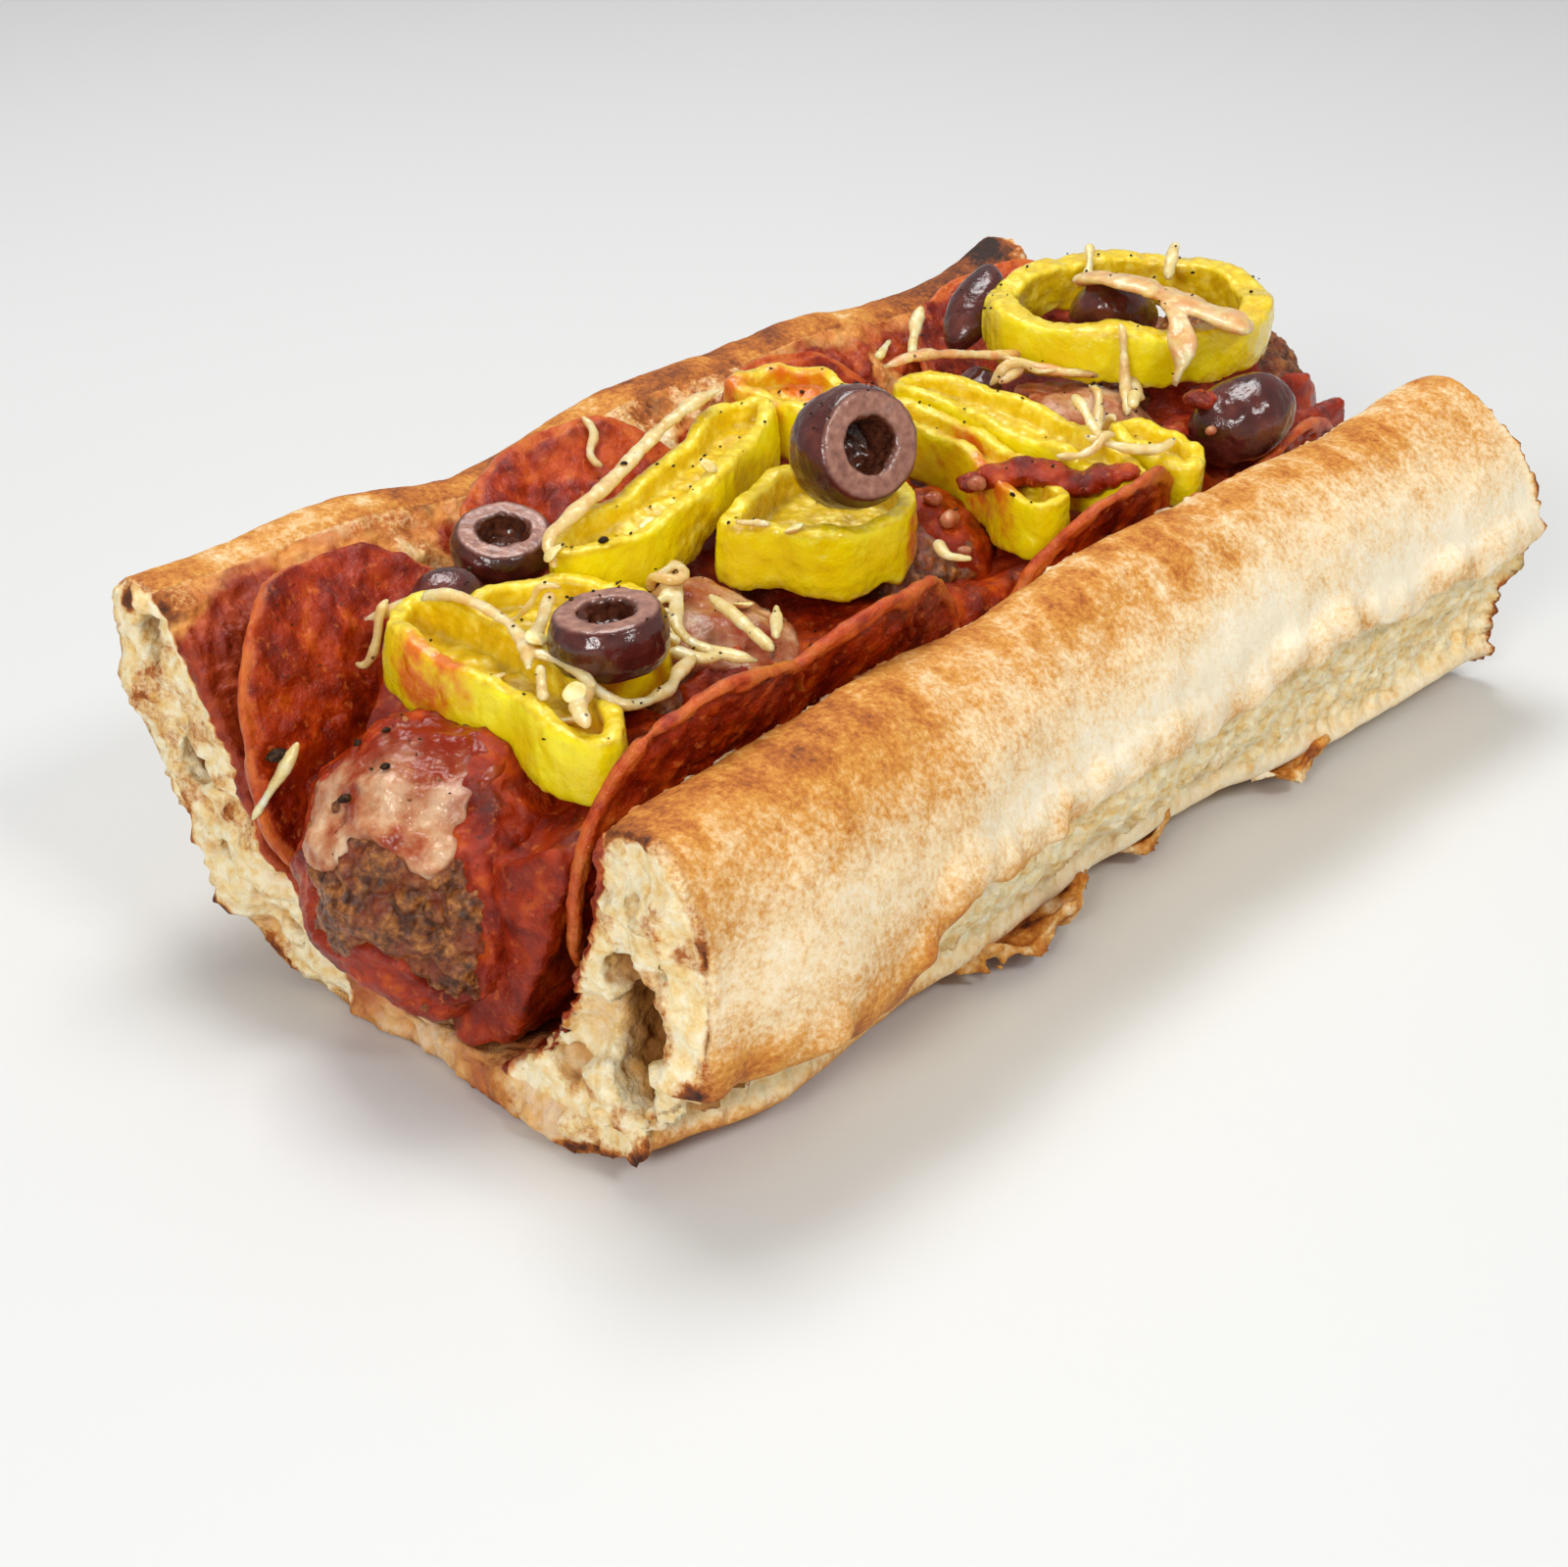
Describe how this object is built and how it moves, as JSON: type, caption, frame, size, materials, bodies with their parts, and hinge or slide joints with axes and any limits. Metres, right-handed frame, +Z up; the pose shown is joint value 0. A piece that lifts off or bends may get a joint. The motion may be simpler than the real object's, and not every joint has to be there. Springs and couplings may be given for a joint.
{
  "type": "submarine sandwich",
  "caption": "Toasted submarine roll opened like a trough and filled with meatballs in tomato sauce, pepperoni, yellow pepper rings, olives and cheese.",
  "frame": {"origin": "middle of the bounding box's underside, on the surface that the roll lies on", "axes": "+X along the roll, from the end shown in front to the far end; +Y across it, from the low thick wall to the leaning wall; +Z up"},
  "size_m": [0.2236, 0.1222, 0.0738],
  "materials": {
    "bread": "toasted crust and open crumb",
    "sauce": "wet tomato sauce",
    "meat": "browned minced meat",
    "pepperoni": "oily cured sausage",
    "cheese": "melted shredded cheese",
    "pepper": "wet pickled pepper",
    "olive": "pickled olive"
  },
  "bodies": {
    "root": {"cheese_web_front": "cheese", "cheese_web_middle": "cheese", "cheese_stick": "cheese", "cheese_stick_short": "cheese", "cheese_web_back": "cheese", "cheese_web_far": "cheese", "cheese_melt_far": "cheese", "cheese_strand_front": "cheese", "cheese_strand_wall": "cheese", "cheese_strand_ring_left": "cheese", "cheese_strand_ring_right": "cheese", "cheese_strand_pepper_far": "cheese", "cheese_strand_pepper_back": "cheese", "cheese_strand_pepper_front": "cheese", "cheese_strand_end": "cheese", "cheese_strand_chip": "cheese", "olive_near": "olive", "olive_standing": "olive", "olive_wall": "olive", "olive_end_cap": "olive", "olive_far": "olive", "olive_in_ring": "olive", "olive_wedge": "olive", "olive_tip": "olive", "pepper_ring_front": "pepper", "pepper_ring_front_back": "pepper", "pepper_ring_middle_left": "pepper", "pepper_ring_middle": "pepper", "pepper_ring_back": "pepper", "pepper_ring_middle_right": "pepper", "pepper_ring_right": "pepper", "pepper_ring_right_end": "pepper", "pepper_ring_far": "pepper", "melted_cheese_front": "cheese", "melted_cheese_middle": "cheese", "melted_cheese_far": "cheese", "pepperoni_low_1": "pepperoni", "pepperoni_low_2": "pepperoni", "pepperoni_low_3": "pepperoni", "pepperoni_low_4": "pepperoni", "pepperoni_leaning_1": "pepperoni", "pepperoni_leaning_2": "pepperoni", "pepperoni_leaning_3": "pepperoni", "pepperoni_leaning_4": "pepperoni", "meatball_1": "meat", "meatball_2": "meat", "meatball_3": "meat", "meatball_4": "meat", "meatball_5": "meat", "sauce": "sauce", "bread": "bread"}
  },
  "joints": []
}
